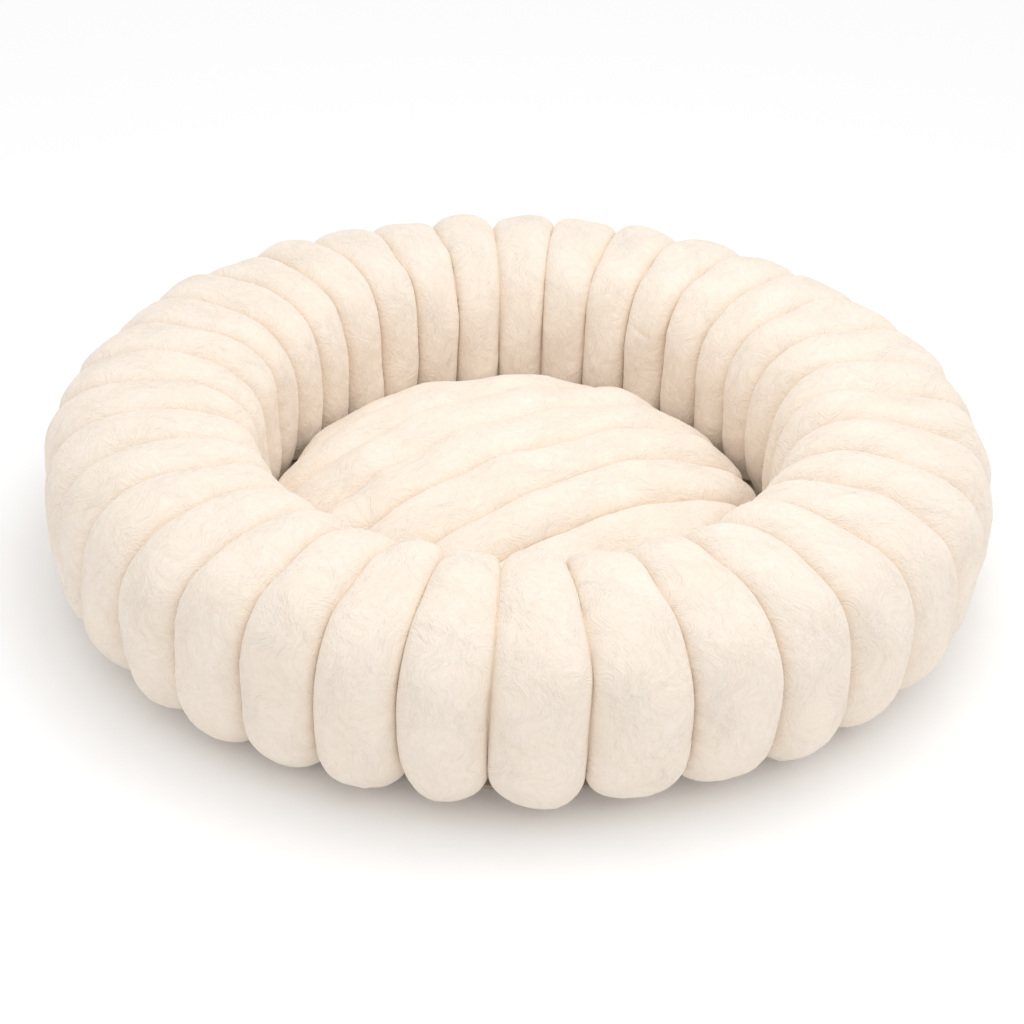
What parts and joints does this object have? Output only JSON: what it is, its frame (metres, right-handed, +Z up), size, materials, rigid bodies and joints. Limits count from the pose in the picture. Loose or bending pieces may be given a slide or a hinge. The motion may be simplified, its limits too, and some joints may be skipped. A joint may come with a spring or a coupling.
{
  "type": "pet cushion bed",
  "caption": "Round pet bed: a ring bolster of puffed plush channels on a cloth base, with a loose domed channelled cushion in the well.",
  "frame": {"origin": "on the floor under the middle of the bed", "axes": "+Z up, +Y towards the back of the bed, +X to its right"},
  "size_m": [0.8, 0.8, 0.167],
  "materials": {
    "plush": "soft short pile, ivory, matt with a pale sheen",
    "fibre_fill": "loose white polyester fibre",
    "thread": "spun polyester thread",
    "base_cloth": "plain woven cloth, matt",
    "binding": "woven tape",
    "wadding": "needled wadding",
    "lining": "smooth woven lining, matt",
    "label": "blank satin ribbon",
    "grip_rubber": "soft moulded dots",
    "zip_tape": "knitted tape",
    "zip_coil": "nylon coil",
    "zip_metal": "enamelled"
  },
  "bodies": {
    "root": {"bolster_fill_01": "fibre_fill", "bolster_fill_02": "fibre_fill", "bolster_fill_03": "fibre_fill", "bolster_fill_04": "fibre_fill", "bolster_fill_05": "fibre_fill", "bolster_fill_06": "fibre_fill", "bolster_fill_07": "fibre_fill", "bolster_fill_08": "fibre_fill", "bolster_fill_09": "fibre_fill", "bolster_fill_10": "fibre_fill", "bolster_fill_11": "fibre_fill", "bolster_fill_12": "fibre_fill", "bolster_fill_13": "fibre_fill", "bolster_fill_14": "fibre_fill", "bolster_fill_15": "fibre_fill", "bolster_fill_16": "fibre_fill", "bolster_fill_17": "fibre_fill", "bolster_fill_18": "fibre_fill", "bolster_fill_19": "fibre_fill", "bolster_fill_20": "fibre_fill", "bolster_fill_21": "fibre_fill", "bolster_fill_22": "fibre_fill", "bolster_fill_23": "fibre_fill", "bolster_fill_24": "fibre_fill", "bolster_fill_25": "fibre_fill", "bolster_fill_26": "fibre_fill", "bolster_fill_27": "fibre_fill", "bolster_fill_28": "fibre_fill", "bolster_fill_29": "fibre_fill", "bolster_fill_30": "fibre_fill", "bolster_fill_31": "fibre_fill", "bolster_fill_32": "fibre_fill", "bolster_fill_33": "fibre_fill", "bolster_fill_34": "fibre_fill", "bolster_fill_35": "fibre_fill", "bolster_fill_36": "fibre_fill", "bolster_cover": "plush", "bolster_seam_thread": "thread", "grip_dots": "grip_rubber", "base_panel": "base_cloth", "base_binding": "binding", "base_felt": "wadding", "well_floor_cloth": "lining", "care_label": "label"},
    "cushion": {"cushion_top_cover": "plush", "cushion_under_cover": "lining", "cushion_fill": "fibre_fill", "cushion_seam_thread": "thread", "zip_tape_upper": "zip_tape", "zip_tape_lower": "zip_tape", "zip_coil_upper": "zip_coil", "zip_coil_lower": "zip_coil", "zip_stops": "zip_metal"},
    "slider": {"zip_slider": "zip_metal"},
    "puller": {"zip_puller": "zip_metal"}
  },
  "joints": [
    {"name": "cushion_lift", "type": "slide", "parent": "root", "child": "cushion", "axis": [0, 0, 1], "range_m": [0, 0.3]},
    {"name": "zip_run", "type": "hinge", "parent": "cushion", "child": "slider", "pos_m": [0, 0, 0.02], "axis": [0, 0, -1], "range_deg": [0, 100]},
    {"name": "puller_swing", "type": "hinge", "parent": "slider", "child": "puller", "pos_m": [-0.16412, 0.13772, 0.02], "axis": [0.6428, 0.766, 0], "range_deg": [0, 140]}
  ]
}
